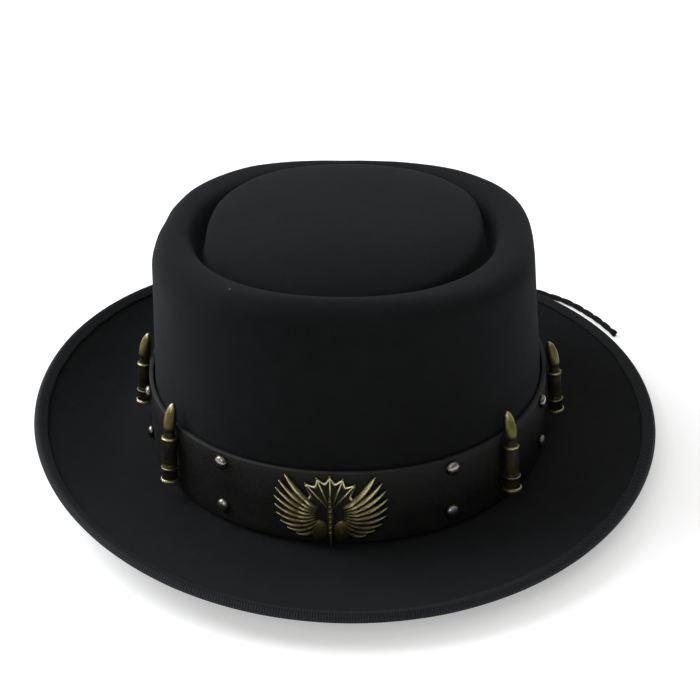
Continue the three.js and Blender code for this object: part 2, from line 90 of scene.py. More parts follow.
def tube(mesh, columns, levels, place, capStart=True, capEnd=True, uvLength=None):
    # a straight tube of unit rings is extruded first, then every ring goes to its own place
    def turnAt(vert):
        return round(math.atan2(vert.co.x, -vert.co.y) / fullTurn * columns) % columns

    circle = bmesh.ops.create_circle(mesh, cap_ends=capStart, cap_tris=capStart, radius=1, segments=columns)
    centre = [vert for vert in circle["verts"] if vert.co.length < 0.5]
    ring = [vert for vert in circle["verts"] if vert.co.length > 0.5]
    turnOf = {vert: turnAt(vert) for vert in ring}
    levelOf = {vert: 0 for vert in ring}
    edges = edgesAmong(turnOf)
    for level in range(1, levels):
        made = bmesh.ops.extrude_edge_only(mesh, edges=edges)["geom"]
        edges = [g for g in made if isinstance(g, bmesh.types.BMEdge)]
        for vert in (g for g in made if isinstance(g, bmesh.types.BMVert)):
            turnOf[vert] = turnAt(vert)
            levelOf[vert] = level
    uv = mesh.loops.layers.uv.verify()
    for face in dict.fromkeys(f for v in turnOf for f in v.link_faces):
        turns = [turnOf[loop.vert] for loop in face.loops if loop.vert in turnOf]
        wraps = max(turns) - min(turns) > columns / 2
        for loop in face.loops:
            if loop.vert not in turnOf:
                loop[uv].uv = (sum(turns) / len(turns) / columns, 0)
                continue
            turn = turnOf[loop.vert]
            around = (turn + columns if wraps and turn < columns / 2 else turn) / columns
            along = levelOf[loop.vert]
            loop[uv].uv = (around, uvLength[along] if uvLength else along / (levels - 1))
    if capEnd:
        ends = [vert for vert in turnOf if levelOf[vert] == levels - 1]
        bmesh.ops.contextual_create(mesh, geom=edgesAmong(ends))
    for vert, turn in turnOf.items():
        vert.co = place(levelOf[vert], fullTurn * turn / columns)
    for vert in centre:
        near = [e.other_vert(vert).co for e in vert.link_edges]
        vert.co = sum(near, Vector()) / len(near)
    return turnOf, levelOf


def spun(mesh, profile, steps, place):
    # a profile of (radius, height) is spun round the z axis and moved to its place
    verts = [mesh.verts.new((radius, 0, height)) for radius, height in profile]
    edges = [mesh.edges.new(pair) for pair in zip(verts, verts[1:])]
    bmesh.ops.spin(mesh, geom=verts + edges, cent=(0, 0, 0), axis=(0, 0, 1), angle=fullTurn,
                   steps=steps, use_merge=True)
    bmesh.ops.remove_doubles(mesh, verts=mesh.verts, dist=weldDistance)
    bmesh.ops.recalc_face_normals(mesh, faces=mesh.faces)
    for edge in mesh.edges:
        if edge.calc_face_angle(0) > math.radians(crispAngle):
            edge.smooth = False
    bmesh.ops.transform(mesh, matrix=place, verts=mesh.verts)


def aim(seat, axis):
    return Matrix.Translation(seat) @ axis.to_track_quat("Z", "Y").to_matrix().to_4x4()


# Shader nodes joined like sums

class Wire:
    # one socket, or a whole tree when there is no socket yet
    def __init__(self, tree, socket=None):
        self.tree = tree
        self.socket = socket

    def node(self, kind, settings=None, values=None, output=0):
        made = self.tree.nodes.new("ShaderNode" + kind)
        for name, value in (settings or {}).items():
            setattr(made, name, value)
        for key, value in (values or {}).items():
            if isinstance(value, Wire):
                self.tree.links.new(value.socket, made.inputs[key])
            else:
                made.inputs[key].default_value = value
        return Wire(self.tree, made.outputs[output])

    def reckon(self, operation, other=0.0):
        return self.node("Math", {"operation": operation}, {0: self, 1: other})

    def __add__(self, other):
        return self.reckon("ADD", other)

    def __sub__(self, other):
        return self.reckon("SUBTRACT", other)

    def __mul__(self, other):
        return self.reckon("MULTIPLY", other)

    def sine(self):
        return self.reckon("SINE")

    def between(self, low, high, fromValue=0.0, toValue=1.0):
        return self.node("MapRange", {"clamp": True},
                         {0: self, 1: low, 2: high, 3: fromValue, 4: toValue})

    def tint(self, dark, light):
        # mixes two colours, or two coloured wires, by this value
        dark, light = (c if isinstance(c, Wire) else (*c, 1) for c in (dark, light))
        return self.node("Mix", {"data_type": "RGBA"}, {0: self, 6: dark, 7: light}, 2)

    def at(self, kind):
        return self.node("TexCoord", output=kind)

    def part(self, axis):
        return self.node("SeparateXYZ", values={0: self}, output=axis)

    def noise(self, scale, detail=3.0, rough=0.5):
        values = {"Vector": self, "Scale": scale, "Detail": detail, "Roughness": rough}
        return self.node("TexNoise", {}, values)

    def bump(self, height, distance, strength=1.0):
        return self.node("Bump", {}, {"Height": height, "Distance": distance, "Strength": strength})


def makeMaterial(name, paint):
    # paint gets the tree, and gives the values and wires of the shader's sockets
    material = bpy.data.materials.new(name)
    material.use_nodes = True
    shader = material.node_tree.nodes["Principled BSDF"]
    for key, value in paint(Wire(material.node_tree)).items():
        if isinstance(value, Wire):
            material.node_tree.links.new(value.socket, shader.inputs[key])
        else:
            shader.inputs[key].default_value = value
    return material


# The camera stands where the photograph's did

cameraView = {
    "location": (0.02867, -0.51454, 0.30045),
    "target": (0.00106, 0.00006, 0.03431),
    "roll": -0.189,
    "lens": 66.24,
    "sensor": 36,
    "nearClip": 0.01,
}


def setCamera():
    camera = bpy.data.objects.new("camera", bpy.data.cameras.new("camera"))
    scene.collection.objects.link(camera)
    location, target = Vector(cameraView["location"]), Vector(cameraView["target"])
    forward = (target - location).normalized()
    right = forward.cross(Vector((0, 0, 1))).normalized()
    up = right.cross(forward)
    roll = math.radians(cameraView["roll"])
    sideways = right * math.cos(roll) + up * math.sin(roll)
    upwards = up * math.cos(roll) - right * math.sin(roll)
    turn = Matrix((sideways, upwards, -forward)).transposed().to_4x4()
    camera.matrix_world = Matrix.Translation(location) @ turn
    camera.data.lens = cameraView["lens"]
    camera.data.sensor_width = cameraView["sensor"]
    camera.data.clip_start = cameraView["nearClip"]
    scene.camera = camera


setCamera()
print("camera set")


# The shape of the hat, in the same sizes as the solids

crownSize = {
    "length": 206.4 * mm, "width": 174.4 * mm, "height": 97.4 * mm, "wall": 2.4 * mm,
    "squareness": 2.03, "topSquareness": 2.62, "tipSquareness": 2.25,
    "rimRadius": 8 * mm, "rimDrop": 2 * mm, "fillet": 1.8 * mm,
    "taperFront": 14 * mm, "taperSide": 6.7 * mm, "shift": 0.9 * mm, "lean": -1.5 * mm,
    "channelWidth": 14 * mm, "channelDepth": 12 * mm,
    "tipRise": 5 * mm, "tipDome": 3.4 * mm, "tipDip": 7.6 * mm,
}
brimSize = {
    "front": 55.6 * mm, "side": 48.1 * mm, "squareness": 2.02, "flat": 0.3, "curl": 1.75,
    "edgeFront": 12 * mm, "edgeBack": 10.4 * mm, "edgeSide": 18.2 * mm, "edgeSkew": 4.9 * mm,
    "edgeWall": 1.6 * mm,
}
strapSize = {
    "wall": 2 * mm, "width": 29.8 * mm, "follow": 0.85, "endGap": 12 * mm, "clearance": 0.3 * mm,
}
footHeight = crownSize["wall"] + crownSize["fillet"]
shoulderHeight = crownSize["height"] - crownSize["rimRadius"]
strapFoot = footHeight + strapSize["clearance"]
tipTop = crownSize["height"] + crownSize["tipRise"]
# share of the height, share of the taper
wallTaper = [(0.0, 0.0), (0.34, 0.26), (0.66, 0.6), (1.0, 1.0)]


def mix(low, high, share):
    return low + (high - low) * share


def smoothStep(value):
    value = min(1.0, max(0.0, value))
    return value * value * (3 - 2 * value)


def wallInward(up):
    for (lowUp, low), (highUp, high) in zip(wallTaper, wallTaper[1:]):
        if up <= highUp:
            return mix(low, high, max(0.0, up - lowUp) / (highUp - lowUp))
    return 1.0


def ovalPoint(halfLength, halfWidth, squareness, angle):
    s, c = math.sin(angle), math.cos(angle)
    reach = (abs(s) ** squareness + abs(c) ** squareness) ** (-1 / squareness)
    return halfWidth * s * reach, -halfLength * c * reach


def crownOval(height, inward):
    up = min(1.0, max(0.0, (height - footHeight) / (shoulderHeight - footHeight)))
    return {
        "up": up,
        "length": crownSize["length"] / 2 - inward * crownSize["taperFront"],
        "width": crownSize["width"] / 2 - inward * crownSize["taperSide"],
        "squareness": mix(crownSize["squareness"], crownSize["topSquareness"], up * up),
        "shift": crownSize["shift"] + crownSize["lean"] * up,
    }


def backDrop(angle):
    return crownSize["rimDrop"] * (1 - math.cos(angle)) / 2


def edgeHeight(angle):
    c, s = math.cos(angle), math.sin(angle)
    along = brimSize["edgeFront"] * (1 + c) / 2 + brimSize["edgeBack"] * (1 - c) / 2
    return along * c * c + brimSize["edgeSide"] * s * s - brimSize["edgeSkew"] * s


def tipFall(angle):
    # how far the tip has fallen at its edge, most at the front
    return crownSize["tipDome"] + crownSize["tipDip"] * ((1 + math.cos(angle)) / 2) ** 2


def topPoint(share, inset, squareness, height, angle):
    oval = crownOval(crownSize["height"], 1)
    x, y = ovalPoint((oval["length"] - crownSize["rimRadius"] - inset) * share,
                     (oval["width"] - crownSize["rimRadius"] - inset) * share, squareness, angle)
    return Vector((x + oval["shift"], y, height))


def wallPoint(inward, inset, height, angle):
    oval = crownOval(height, inward)
    x, y = ovalPoint(oval["length"] - inset, oval["width"] - inset, oval["squareness"], angle)
    return Vector((x + oval["shift"], y, height - oval["up"] * backDrop(angle)))


def brimPoint(share, less, angle):
    front, side = brimSize["front"] * share - less, brimSize["side"] * share - less
    out = (front + side) / (brimSize["front"] + brimSize["side"])
    curl = max(0.0, (out - brimSize["flat"]) / (1 - brimSize["flat"])) ** brimSize["curl"]
    x, y = ovalPoint(crownSize["length"] / 2 + front, crownSize["width"] / 2 + side,
                     mix(crownSize["squareness"], brimSize["squareness"], out), angle)
    height = crownSize["wall"] + (edgeHeight(angle) - crownSize["wall"]) * curl
    return Vector((x + crownSize["shift"] * (1 - out), y, height))


def strapPoint(angle, up, proud=0.0):
    height = strapFoot + up
    inward = strapSize["follow"] * wallInward((height - footHeight) / (shoulderHeight - footHeight))
    oval = crownOval(height, inward)
    past = strapSize["clearance"] + strapSize["wall"] + proud
    x, y = ovalPoint(oval["length"] + past, oval["width"] + past, oval["squareness"], angle)
    return Vector((x + oval["shift"], y, height))


def strapFace(angle, up):
    # a point on the strap's outer face, the way up the face, and the way out of it
    along = strapPoint(angle + slopeStep, up) - strapPoint(angle - slopeStep, up)
    rise = (strapPoint(angle, up + slopeStep * mm) - strapPoint(angle, up - slopeStep * mm)).normalized()
    return strapPoint(angle, up), rise, along.cross(rise).normalized()


def strapHalfWidth(up):
    return (strapPoint(math.pi / 2, up).x - strapPoint(-math.pi / 2, up).x) / 2


def backAngle(side):
    # the angle at which the strap's outer face is this far to the side of the back's middle
    return math.pi - math.asin(side / strapHalfWidth(strapSize["width"] / 2))


# The lace, twisted from two plies

laceLook = {
    "diameter": 3 * mm, "plies": 2, "pitch": 17 * mm, "plyShare": 0.62, "plyOval": 1.25, "sides": 14,
    "step": 0.9 * mm, "fray": 4 * mm, "frayOpen": 0.3,
    "yarns": 7, "yarnSlant": 3.0, "fibreScale": 1600, "relief": 0.2 * mm,
    "dark": (0.0018, 0.0017, 0.0018), "light": (0.0088, 0.0079, 0.0077),
}


def paintLace(tree):
    uv = tree.at("UV")
    place = tree.at("Object")
    around, along = uv.part("X"), uv.part("Y")
    yarns = ((around * laceLook["yarns"] + along * laceLook["yarnSlant"]) * fullTurn).sine().between(-1, 1)
    fibre = place.noise(laceLook["fibreScale"], 2)
    shade = (yarns * 0.6 + fibre * 0.5).between(0.2, 0.95)
    return {
        "Base Color": shade.tint(laceLook["dark"], laceLook["light"]),
        "Roughness": fibre.between(0.3, 0.7, 0.65, 0.9),
        "Specular IOR Level": 0.1,
        "Sheen Weight": 0.02,
        "Normal": tree.bump(yarns * 0.7 + fibre * 0.5, laceLook["relief"], 0.7),
    }


laceMaterial = makeMaterial("twistedLace", paintLace)


def curveThrough(points):
    # points one small step apart on a smooth curve through the given ones
    fine = []
    count = len(points)
    for i in range(count - 1):
        p0, p1, p2, p3 = points[max(i - 1, 0)], points[i], points[i + 1], points[min(i + 2, count - 1)]
        pieces = max(2, round((p2 - p1).length / laceLook["step"]))
        for k in range(pieces):
            t = k / pieces
            fine.append(0.5 * (2 * p1 + (p2 - p0) * t + (2 * p0 - 5 * p1 + 4 * p2 - p3) * t * t
                               + (3 * p1 - p0 - 3 * p2 + p3) * t ** 3))
    fine.append(points[-1])
    return fine


def framesAlong(path):
    # a direction and a side for every point, the side turned as little as can be
    frames = []
    side = None
    for i, point in enumerate(path):
        along = (path[min(i + 1, len(path) - 1)] - path[max(i - 1, 0)]).normalized()
        if side is None:
            side = along.orthogonal().normalized()
        side = (side - along * side.dot(along)).normalized()
        frames.append((point, along, side))
    return frames


def twistedLace(mesh, path, diameter, fray=0.0):
    # the plies wind round each other along the path, and part over the length of the fray at its end
    frames = framesAlong(path)
    run = [0.0]
    for a, b in zip(path, path[1:]):
        run.append(run[-1] + (b - a).length)
    plyRadius = diameter / 2 * laceLook["plyShare"]
    orbit = diameter / 2 - plyRadius
    for ply in range(laceLook["plies"]):
        start = fullTurn * ply / laceLook["plies"]

        def place(level, angle):
            point, along, side = frames[level]
            other = along.cross(side)
            twist = start + fullTurn * run[level] / laceLook["pitch"]
            out = side * math.cos(twist) + other * math.sin(twist)
            across = other * math.cos(twist) - side * math.sin(twist)
            parted = smoothStep((run[level] - run[-1] + fray) / fray) if fray else 0
            centre = point + out * orbit * (1 + laceLook["frayOpen"] * parted)
            around = out * math.cos(angle) + across * math.sin(angle) * laceLook["plyOval"]
            return centre + plyRadius * around

        # the yarns' pattern repeats twice a pitch
        tube(mesh, laceLook["sides"], len(path), place, uvLength=[2 * r / laceLook["pitch"] for r in run])


# the same points as the solid's, in millimetres
tailRoute = [
    (7, 110.9, 15.3), (10.4, 114.6, 10.2), (17, 121, 4.9), (26, 131.5, 5.9),
    (34, 141.5, 8.8), (41.7, 150.8, 13.2), (48.8, 158.4, 12.4), (56.6, 163.6, 7.4),
    (65, 165.4, 3), (73.8, 162.6, 1.7), (82, 155.8, 1.7), (90.4, 145.6, 1.7),
    (97.8, 137.9, 1.7), (104.3, 132.7, 1.7), (110.6, 127.6, 1.7), (116, 121.4, 1.7),
    (121.2, 113.6, 1.7), (126.2, 104.9, 1.7), (130, 96.6, 1.7), (133.6, 87.6, 1.7),
]


def makeTail():
    path = curveThrough([Vector(point) * mm for point in tailRoute])
    mesh = bmesh.new()
    twistedLace(mesh, path, laceLook["diameter"], laceLook["fray"])
    piece = finish(mesh, "laceTail", "lace", "lace_tail", laceMaterial)
    length = sum((b - a).length for a, b in zip(path, path[1:]))
    print("lace tail", round(length, 4))


makeTail()


# The felt body, and the sizes of the ribbon that laps over it

ribbonLook = {
    "columns": 240, "wall": 0.55 * mm, "lap": 4 * mm, "gap": 0.3 * mm,
    "lapStops": (1, 0.78, 0.5, 0.22), "foldTurns": (12, 38, 64, 90, 116, 142, 168),
    "foldReach": 0.35 * mm, "foldRound": 0.72,
    "waver": 0.75 * mm, "waverScale": 95, "waverFrom": 0.4,
    "lift": 0.12 * mm, "liftScale": 60, "liftLevel": 5,
    "ribs": 860, "threads": 22, "creases": 3.5, "relief": 0.22 * mm,
    "dark": (0.0015, 0.0017, 0.002), "light": (0.027, 0.031, 0.0355), "sheenTint": (0.8, 0.9, 1.0, 1),
}
feltLook = {
    "columns": 120, "wallSteps": 16, "thinRows": 3,
    "tipShares": (0.1, 0.25, 0.4, 0.55, 0.68, 0.79, 0.88, 0.95, 1.0),
    "rimTurns": (0, 15, 30, 45, 60, 75, 90),
    "brimShares": (0.04, 0.1, 0.18, 0.26, 0.34, 0.42, 0.5, 0.58, 0.66, 0.74, 0.82),
    "beforeLap": 2.2 * mm, "besideLap": 0.6 * mm,
    "unevenness": 0.35 * mm, "unevenScale": 22, "unevenFrom": 40 * mm, "unevenOver": 20 * mm,
    "creases": 0.3 * mm, "creaseScale": 75, "creaseFrom": 84 * mm, "creaseOver": 9 * mm,
    "lintScale": 75.0, "relief": 0.5 * mm, "sheenTint": (0.8, 0.88, 1.0, 1),
    "dark": (0.0027, 0.0029, 0.0032), "light": (0.0088, 0.0093, 0.0101), "lint": (0.2, 0.2, 0.19),
}


def paintFelt(tree):
    place = tree.at("Object")
    broad = place.noise(26, 3)
    cloud = place.noise(150, 3, 0.6)
    nap = place.noise(1100, 4, 0.7)
    hairs = place.node("Mapping", values={"Vector": place, "Scale": (1, 1, 0.35)}).noise(2600, 2, 0.6)
    shade = broad * 0.25 + cloud * 0.3 + nap * 0.35 + hairs * 0.25
    # one speck of lint in the middle of a few cells, which are picked by their colour
    cells = {"Vector": place, "Scale": feltLook["lintScale"]}
    fromMiddle = place.node("TexVoronoi", {"feature": "F1"}, cells)
    colour = place.node("TexVoronoi", {"feature": "F1"}, cells, output="Color")
    chosen = colour.node("SeparateColor", values={0: colour}).between(0.89, 0.895)
    lint = (fromMiddle + nap * 0.05).between(0.05, 0.075, 1.0, 0.0) * chosen
    body = shade.between(0.35, 0.8).tint(feltLook["dark"], feltLook["light"])
    height = nap * 0.7 + hairs * 0.5 + cloud * 0.6
    return {
        "Base Color": lint.tint(body, feltLook["lint"]),
        "Roughness": nap.between(0.3, 0.7, 0.86, 1.0),
        "Specular IOR Level": 0.1,
        "Sheen Weight": 0.03,
        "Sheen Roughness": 0.5,
        "Sheen Tint": feltLook["sheenTint"],
        "Normal": tree.bump(height, feltLook["relief"], 0.55),
    }


feltMaterial = makeMaterial("blackWoolFelt", paintFelt)


# share of the way across, which brink it hangs from, share of the depth, squareness
channelProfile = [
    (0.04, "tip", 0.27, 2.24), (0.09, "tip", 0.56, 2.22), (0.145, "tip", 0.86, 2.2), (0.22, "tip", 1.0, 2.18),
    (0.3, "rim", 0.96, 2.14), (0.37, "rim", 0.79, 2.12), (0.43, "rim", 0.5, 2.1), (0.5, "rim", 0.27, 2.1),
    (0.6, "rim", 0.14, 2.13), (0.72, "rim", 0.06, 2.2), (0.86, "rim", 0.015, 2.4),
]
# share of the fall, power of the way out
tipCurve = [(0.55, 2.2), (0.45, 6)]


def tipProfile(out):
    # an even slope from the middle that rounds off towards its edge
    return sum(share * out ** power for share, power in tipCurve)


def tipPoint(out, angle):
    height = tipTop - tipFall(angle) * tipProfile(out)
    return topPoint(out, crownSize["channelWidth"], crownSize["tipSquareness"], height, angle)


def channelPoint(across, brink, deep, squareness, angle):
    start = tipTop - tipFall(angle) if brink == "tip" else crownSize["height"] - backDrop(angle)
    floor = crownSize["height"] - crownSize["channelDepth"] - backDrop(angle)
    inset = crownSize["channelWidth"] * (1 - across)
    return topPoint(1, inset, squareness, mix(start, floor, deep), angle)


def feltRows():
    # every ring of the felt's upper side, from the middle of the tip out to the brim's edge
    rows = [partial(tipPoint, out) for out in feltLook["tipShares"]]
    rows += [partial(channelPoint, *row) for row in channelProfile]
    radius = crownSize["rimRadius"]
    for t in map(math.radians, feltLook["rimTurns"]):
        rows.append(partial(wallPoint, 1, radius * (1 - math.sin(t)), shoulderHeight + radius * math.cos(t)))
    for step in range(1, feltLook["wallSteps"] + 1):
        up = 1 - step / feltLook["wallSteps"]
        rows.append(partial(wallPoint, wallInward(up), 0, mix(footHeight, shoulderHeight, up)))
    turn = crownSize["fillet"] * (1 - math.sqrt(0.5))
    rows.append(partial(wallPoint, 0, -turn, crownSize["wall"] + turn))
    rows += [partial(brimPoint, share, 0) for share in feltLook["brimShares"]]
    lap = ribbonLook["lap"]
    stops = (lap + feltLook["beforeLap"], lap + feltLook["besideLap"], lap / 2, 0)
    return rows + [partial(brimPoint, 1, less) for less in stops]


def makeFelt():
    rows = feltRows()
    mesh = bmesh.new()

    def place(level, angle):
        point = rows[level](angle)
        free = smoothStep((point.z - feltLook["unevenFrom"]) / feltLook["unevenOver"])
        push = noise.noise(point * feltLook["unevenScale"]) * feltLook["unevenness"] * free
        if level >= len(feltLook["tipShares"]):
            high = smoothStep((point.z - feltLook["creaseFrom"]) / feltLook["creaseOver"])
            push += noise.noise(point * feltLook["creaseScale"]) * feltLook["creases"] * high
        outward = Vector((point.x, point.y, 0)).normalized()
        return point + outward * push + Vector((0, 0, push * 0.5))

    wall = mesh.verts.layers.deform.verify()
    levelOf = tube(mesh, feltLook["columns"], len(rows), place, capEnd=False)[1]
    for vert in mesh.verts:
        vert[wall][0] = 0.0 if levelOf.get(vert, 0) >= len(rows) - feltLook["thinRows"] else 1.0
    piece = finish(mesh, "feltBody", "felt", "felt_body", feltMaterial, closed=False)
    piece.vertex_groups.new(name="fullWall")
    addModifier(piece, "SOLIDIFY", thickness=crownSize["wall"], offset=-1, use_even_offset=True,
                vertex_group="fullWall", thickness_vertex_group=brimSize["edgeWall"] / crownSize["wall"])
    addModifier(piece, "SUBSURF", levels=1, render_levels=1)
    print("felt made")


makeFelt()


# The grosgrain ribbon round the edge

def paintRibbon(tree):
    uv = tree.at("UV")
    place = tree.at("Object")
    around, across = uv.part("X"), uv.part("Y")
    slip = place.noise(300, 2) * 3.2
    ribs = (around * (fullTurn * ribbonLook["ribs"]) + slip).sine().between(-1, 1)
    threads = (across * (fullTurn * ribbonLook["threads"])).sine().between(-1, 1)
    creases = (across * (fullTurn * ribbonLook["creases"]) + place.noise(14, 2) * 5).sine().between(0.9, 1.0)
    broad = place.noise(40, 3)
    fibre = place.noise(1500, 3)
    # the fold itself is painted paler than the laps beside it: a painted highlight along the binding's outer
    # edge
    foldHighlight = (across * math.pi).sine().between(0.8, 1.0, 0.24, 1.0)
    shade = ribs * 0.4 + threads * 0.1 + broad * 0.4 + fibre * 0.2 + creases * 0.1
    height = ribs * 1.0 + threads * 0.15 + creases * 0.5 + fibre * 0.2
    return {
        "Base Color": (shade.between(0.2, 0.95) * foldHighlight).tint(ribbonLook["dark"], ribbonLook["light"]),
        "Roughness": fibre.between(0.3, 0.7, 0.65, 0.85),
        "Specular IOR Level": 0.14,
        "Sheen Weight": 0.05,
        "Sheen Roughness": 0.4,
        "Sheen Tint": ribbonLook["sheenTint"],
        "Normal": tree.bump(height, ribbonLook["relief"]),
    }


ribbonMaterial = makeMaterial("grosgrainRibbon", paintRibbon)


def makeRibbon():
    wall, gap, thin, lap = ribbonLook["wall"], ribbonLook["gap"], brimSize["edgeWall"], ribbonLook["lap"]
    outside = gap + wall
    middle = -thin / 2
    high = outside - middle
    # the fold in section: along the brim, and above its upper side
    wide = high * ribbonLook["foldRound"]
    section = [(-lap * stop, outside) for stop in ribbonLook["lapStops"]]
    section += [(ribbonLook["foldReach"] + wide * math.sin(t), middle + high * math.cos(t))
                for t in map(math.radians, ribbonLook["foldTurns"])]
    section += [(-lap * stop, -thin - outside) for stop in reversed(ribbonLook["lapStops"])]
    mesh = bmesh.new()

    def place(level, angle):
        edge, before = brimPoint(1, 0, angle), brimPoint(1, lap / 2, angle)
        out = (edge - before).normalized()
        around = brimPoint(1, 0, angle + slopeStep) - brimPoint(1, 0, angle - slopeStep)
        up = around.cross(out).normalized()
        if up.z < 0:
            up = -up
        along, above = section[level]
        # the lap's inner line wavers, the upper one apart from the lower, and the fold lifts a little
        inner = smoothStep((-along / lap - ribbonLook["waverFrom"]) / (1 - ribbonLook["waverFrom"]))
        lower = 1 if level > len(section) // 2 else 0
        sway = noise.noise(Vector((edge.x, edge.y, lower)) * ribbonLook["waverScale"]) * ribbonLook["waver"]
        rise = noise.noise(Vector((edge.x, edge.y, ribbonLook["liftLevel"])) * ribbonLook["liftScale"])
        lift = (0.5 + 0.5 * rise) * ribbonLook["lift"] * (1 - inner)
        return edge + out * (along - sway * inner) + up * (above + (lift if above > 0 else -lift))

    tube(mesh, ribbonLook["columns"], len(section), place, capStart=False, capEnd=False)
    piece = finish(mesh, "brimBinding", "ribbon", "brim_binding", ribbonMaterial, closed=False)
    addModifier(piece, "SOLIDIFY", thickness=wall, offset=-1)
    addModifier(piece, "SUBSURF", levels=1, render_levels=1)
    print("binding made")


makeRibbon()


# The leather strap

strapLook = {
    "columns": 220, "rows": 8, "bevel": 0.45 * mm, "bevelFrom": 50, "bevelSteps": 3,
    "skin": 0.1 * mm, "wave": 0.12 * mm, "waveAround": 3, "waveUp": 30,
    "grainScale": 1500.0, "relief": 0.1 * mm, "cutRelief": 0.2 * mm,
    "dark": (0.0031, 0.003, 0.0028), "light": (0.0102, 0.0098, 0.0091),
    "cutDark": (0.006, 0.006, 0.006), "cutLight": (0.02, 0.02, 0.0195),
}


def paintLeather(tree):
    place = tree.at("Object")
    cells = {"Vector": place, "Scale": strapLook["grainScale"]}
    pores = place.node("TexVoronoi", {"feature": "DISTANCE_TO_EDGE"}, cells).between(0.0, 0.25)
    cloud = place.noise(90, 4, 0.6)
    fine = place.noise(900, 3)
    shade = pores * 0.3 + cloud * 0.5 + fine * 0.3
    return {
        "Base Color": shade.between(0.3, 0.95).tint(strapLook["dark"], strapLook["light"]),
        "Roughness": (cloud * 0.6 + fine * 0.4).between(0.3, 0.7, 0.5, 0.72),
        "Specular IOR Level": 0.3,
        "Normal": tree.bump(pores * 0.6 + fine * 0.6 + cloud * 0.5, strapLook["relief"], 0.6),
    }


def paintCutEdge(tree):
    place = tree.at("Object")
    rubbed = place.noise(120, 4, 0.6)
    fibre = place.noise(1400, 3)
    shade = (rubbed * 0.8 + fibre * 0.4).between(0.35, 0.8)
    return {
        "Base Color": shade.tint(strapLook["cutDark"], strapLook["cutLight"]),
        "Roughness": fibre.between(0.3, 0.7, 0.6, 0.85),
        "Specular IOR Level": 0.3,
        "Normal": tree.bump(fibre, strapLook["cutRelief"], 0.6),
    }


leatherMaterial = makeMaterial("blackLeather", paintLeather)
cutEdgeMaterial = makeMaterial("rawLeatherEdge", paintCutEdge)


def makeStrap():
    end = backAngle(strapSize["endGap"] / 2)
    around, skin = strapLook["waveAround"], strapLook["skin"]
    mesh = bmesh.new()
    bmesh.ops.create_grid(mesh, x_segments=strapLook["columns"], y_segments=strapLook["rows"], size=1)
    for vert in mesh.verts:
        angle, up = vert.co.x * end, (vert.co.y + 1) / 2 * strapSize["width"]
        spot = Vector((math.sin(angle) * around, math.cos(angle) * around, up * strapLook["waveUp"]))
        vert.co = strapPoint(angle, up, noise.noise(spot) * strapLook["wave"] - skin)
    piece = finish(mesh, "hatBand", "strap_leather", "hat_band", leatherMaterial, cutEdgeMaterial,
                   closed=False)
    addModifier(piece, "SOLIDIFY", thickness=strapSize["wall"] - skin, offset=-1, material_offset_rim=1)
    addModifier(piece, "BEVEL", width=strapLook["bevel"], segments=strapLook["bevelSteps"],
                limit_method="ANGLE", angle_limit=math.radians(strapLook["bevelFrom"]))
    print("strap made")


makeStrap()


# The rivets, studs and badge

metalLook = {
    "brassDark": (0.023, 0.021, 0.017), "brassMid": (0.17, 0.15, 0.054), "brassBright": (0.8, 0.72, 0.44),
    "brassRelief": 0.12 * mm,
    # the rivets' bright and dark colours carry a painted highlight on each dome's top and painted shade at
    # its foot
    "rivetDark": (0.03, 0.028, 0.019), "rivetBright": (0.4, 0.38, 0.33), "rivetRelief": 0.025 * mm,
}


def paintBrass(tree):
    place = tree.at("Object")
    wearAndHighlight = tree.node("Attribute", {"attribute_name": "wearAndHighlight"}, output="Fac")
    blotch = place.noise(260, 4, 0.6)
    grit = place.noise(2400, 3, 0.6)
    bareAndHighlit = (wearAndHighlight + blotch * 0.5 - 0.25 + grit * 0.1).between(0.15, 0.85)
    darkToMid = bareAndHighlit.between(0.0, 0.55).tint(metalLook["brassDark"], metalLook["brassMid"])
    return {
        "Base Color": bareAndHighlit.between(0.55, 1.0).tint(darkToMid, metalLook["brassBright"]),
        "Metallic": bareAndHighlit.between(0.0, 0.5, 0.75, 1.0),
        "Roughness": (bareAndHighlit * -0.3 + grit * 0.15 + 0.5).between(0.15, 0.65, 0.2, 0.6),
        "Normal": tree.bump(grit * 0.5 + blotch, metalLook["brassRelief"], 0.6),
    }


def paintRivet(tree):
    place = tree.at("Object")
    wearAndHighlight = tree.node("Attribute", {"attribute_name": "wearAndHighlight"}, output="Fac")
    blotch = place.noise(420, 4, 0.65)
    grit = place.noise(2600, 3)
    # the attribute paints a highlight on each dome's top and shade at its foot, and blotches vary it at
    # random
    bareAndHighlit = (wearAndHighlight + blotch * 0.2 - 0.1).between(0.05, 0.95)
    return {
        "Base Color": bareAndHighlit.tint(metalLook["rivetDark"], metalLook["rivetBright"]),
        "Metallic": 1.0,
        "Roughness": (grit * 0.3 + blotch * 0.4).between(0.2, 0.55, 0.2, 0.36),
        "Normal": tree.bump(grit * 0.4 + blotch, metalLook["rivetRelief"], 0.35),
    }


brassMaterial = makeMaterial("antiqueBrass", paintBrass)
rivetMaterial = makeMaterial("agedRivetMetalWithHighlight", paintRivet)


def standingOut(piece):
    # how far each point stands out from its neighbours, as a share of their distance
    made = bmesh.new()
    made.from_mesh(piece.data)
    made.normal_update()
    shares = []
    for vert in made.verts:
        around = [edge.other_vert(vert).co for edge in vert.link_edges]
        mean = sum(around, Vector()) / len(around)
        apart = sum((point - vert.co).length for point in around) / len(around)
        shares.append((vert.co - mean).dot(vert.normal) / apart)
    made.free()
    return shares


def setWearAndHighlight(piece, values):
    # bright metal at 1, dark metal at 0: rubbed wear that also stands for a painted highlight on the studs'
    # edges, and on the rivets a painted highlight at the top of each dome with painted shade at its foot
    layer = piece.data.attributes.new("wearAndHighlight", "FLOAT", "POINT")
    layer.data.foreach_set("value", values)


